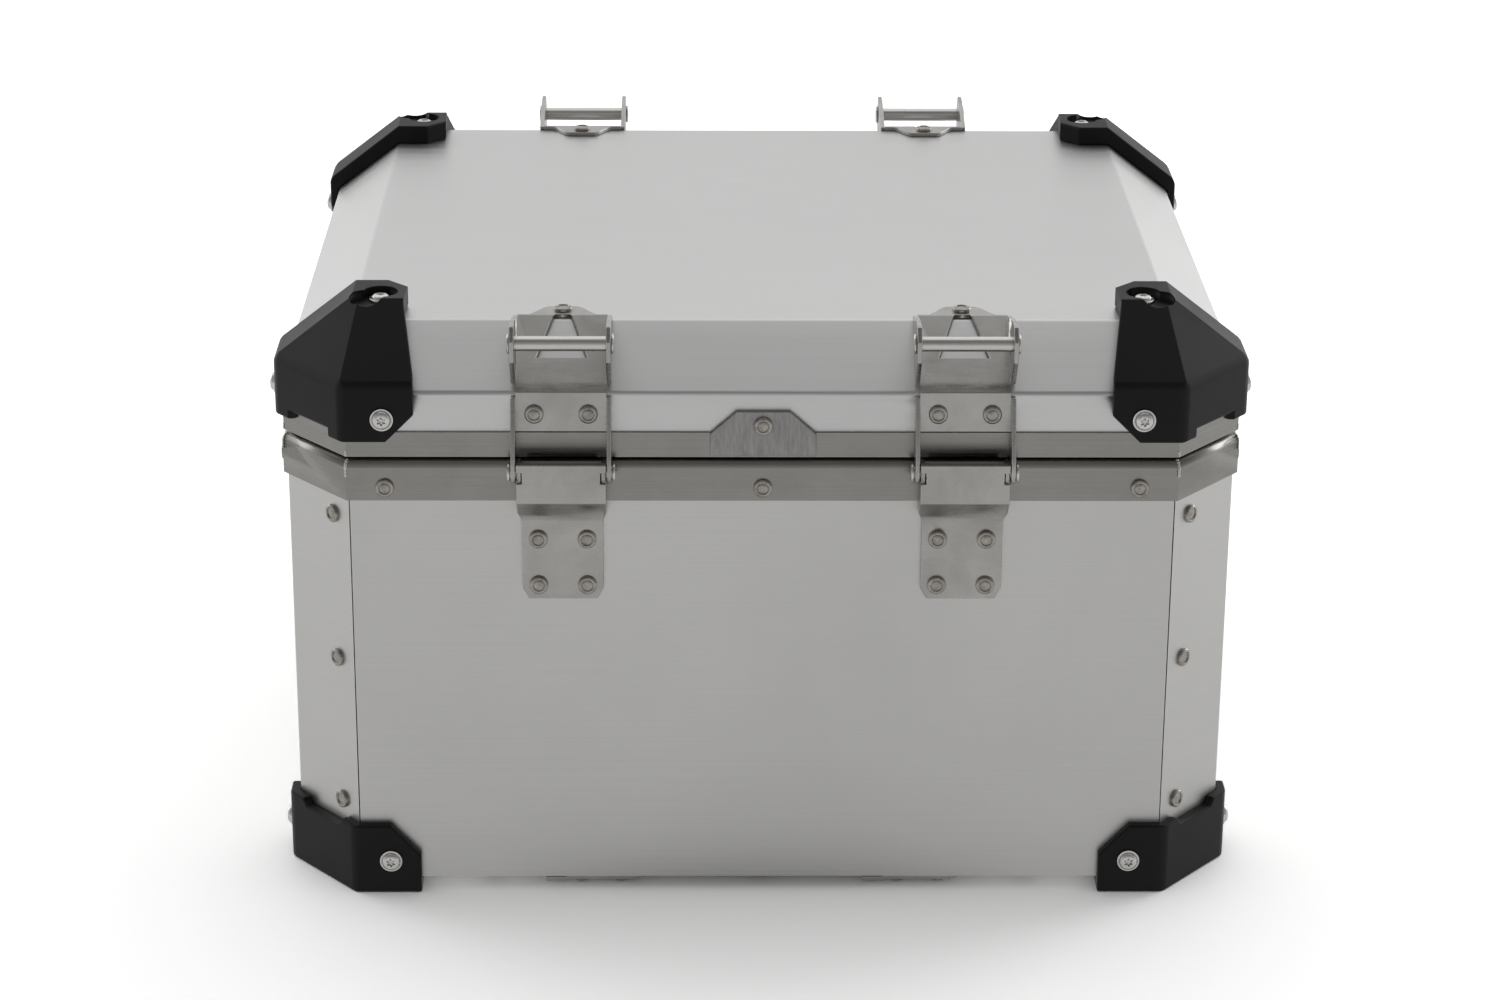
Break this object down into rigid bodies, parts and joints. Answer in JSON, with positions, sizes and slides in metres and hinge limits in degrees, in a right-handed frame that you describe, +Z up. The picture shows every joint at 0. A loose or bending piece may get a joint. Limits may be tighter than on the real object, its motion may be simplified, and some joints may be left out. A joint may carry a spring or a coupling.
{
  "type": "top case",
  "caption": "Aluminium motorcycle top case with riveted corners, black corner caps, hinged lid, tie bars, two lever latches and key locks.",
  "frame": {"origin": "centre of the four rack holes, on the ground under the case", "axes": "+X to the right seen from the hinge side, +Y from the hinges towards the latches, +Z up"},
  "size_m": [0.4246, 0.4103, 0.264],
  "materials": {
    "sheet_aluminium": "fine brushed, clear",
    "frame_aluminium": "brushed",
    "bracket_steel": "brushed stainless",
    "rivet_steel": "satin stainless",
    "fastener_steel": "bright stainless",
    "lock_chrome": "satin chrome",
    "black_plastic": "fine moulded grain",
    "seal_rubber": "matte"
  },
  "bodies": {
    "case": {"body_rim": "frame_aluminium", "corner_rivets": "rivet_steel", "floor_rivets": "rivet_steel", "floor_sheet": "sheet_aluminium", "front_panel": "sheet_aluminium", "hinge_base_left": "bracket_steel", "hinge_base_right": "bracket_steel", "hinge_base_rivets": "rivet_steel", "hinge_pins": "bracket_steel", "latch_base_left": "bracket_steel", "latch_base_right": "bracket_steel", "latch_base_rivets": "rivet_steel", "left_panel": "sheet_aluminium", "lever_pins": "bracket_steel", "lower_cap_front_left": "black_plastic", "lower_cap_front_right": "black_plastic", "lower_cap_nuts": "fastener_steel", "lower_cap_rear_left": "black_plastic", "lower_cap_rear_right": "black_plastic", "lower_cap_screws": "fastener_steel", "rack_rail_left": "bracket_steel", "rack_rail_right": "bracket_steel", "rail_rivets": "rivet_steel", "rear_panel": "sheet_aluminium", "right_panel": "sheet_aluminium", "rim_rivets": "rivet_steel"},
    "lid": {"bracket_rivets": "rivet_steel", "catch_bracket_left": "bracket_steel", "catch_bracket_right": "bracket_steel", "catch_rod_left": "bracket_steel", "catch_rod_right": "bracket_steel", "hinge_bracket_left": "bracket_steel", "hinge_bracket_right": "bracket_steel", "joint_plate_front": "frame_aluminium", "joint_plate_rear": "frame_aluminium", "joint_plate_rivets": "rivet_steel", "lid_frame": "frame_aluminium", "lid_seal": "seal_rubber", "lid_sheet": "sheet_aluminium", "tie_bar_front_left": "bracket_steel", "tie_bar_front_right": "bracket_steel", "tie_bar_rear_left": "bracket_steel", "tie_bar_rear_right": "bracket_steel", "upper_cap_front_left": "black_plastic", "upper_cap_front_right": "black_plastic", "upper_cap_nuts": "fastener_steel", "upper_cap_rear_left": "black_plastic", "upper_cap_rear_right": "black_plastic", "upper_cap_screws": "fastener_steel"},
    "latch_left": {"claw_rivets_left": "rivet_steel", "latch_claw_left": "bracket_steel", "latch_lever_left": "bracket_steel", "lock_housing_left": "lock_chrome"},
    "lock_left": {"lock_plug_left": "lock_chrome"},
    "latch_right": {"claw_rivets_right": "rivet_steel", "latch_claw_right": "bracket_steel", "latch_lever_right": "bracket_steel", "lock_housing_right": "lock_chrome"},
    "lock_right": {"lock_plug_right": "lock_chrome"}
  },
  "joints": [
    {"name": "lid_hinge", "type": "hinge", "parent": "case", "child": "lid", "pos_m": [0, -0.1886, 0.1996], "axis": [1, 0, 0], "range_deg": [0, 95]},
    {"name": "latch_left_pivot", "type": "hinge", "parent": "case", "child": "latch_left", "pos_m": [-0.0852, 0.1905, 0.154], "axis": [-1, 0, 0], "range_deg": [-11, 90]},
    {"name": "lock_left_turn", "type": "hinge", "parent": "latch_left", "child": "lock_left", "pos_m": [-0.0852, 0.19622, 0.18345], "axis": [0, -0.9816, 0.1908], "range_deg": [0, 90]},
    {"name": "latch_right_pivot", "type": "hinge", "parent": "case", "child": "latch_right", "pos_m": [0.0852, 0.1905, 0.154], "axis": [-1, 0, 0], "range_deg": [-11, 90]},
    {"name": "lock_right_turn", "type": "hinge", "parent": "latch_right", "child": "lock_right", "pos_m": [0.0852, 0.19622, 0.18345], "axis": [0, -0.9816, 0.1908], "range_deg": [0, 90]}
  ]
}
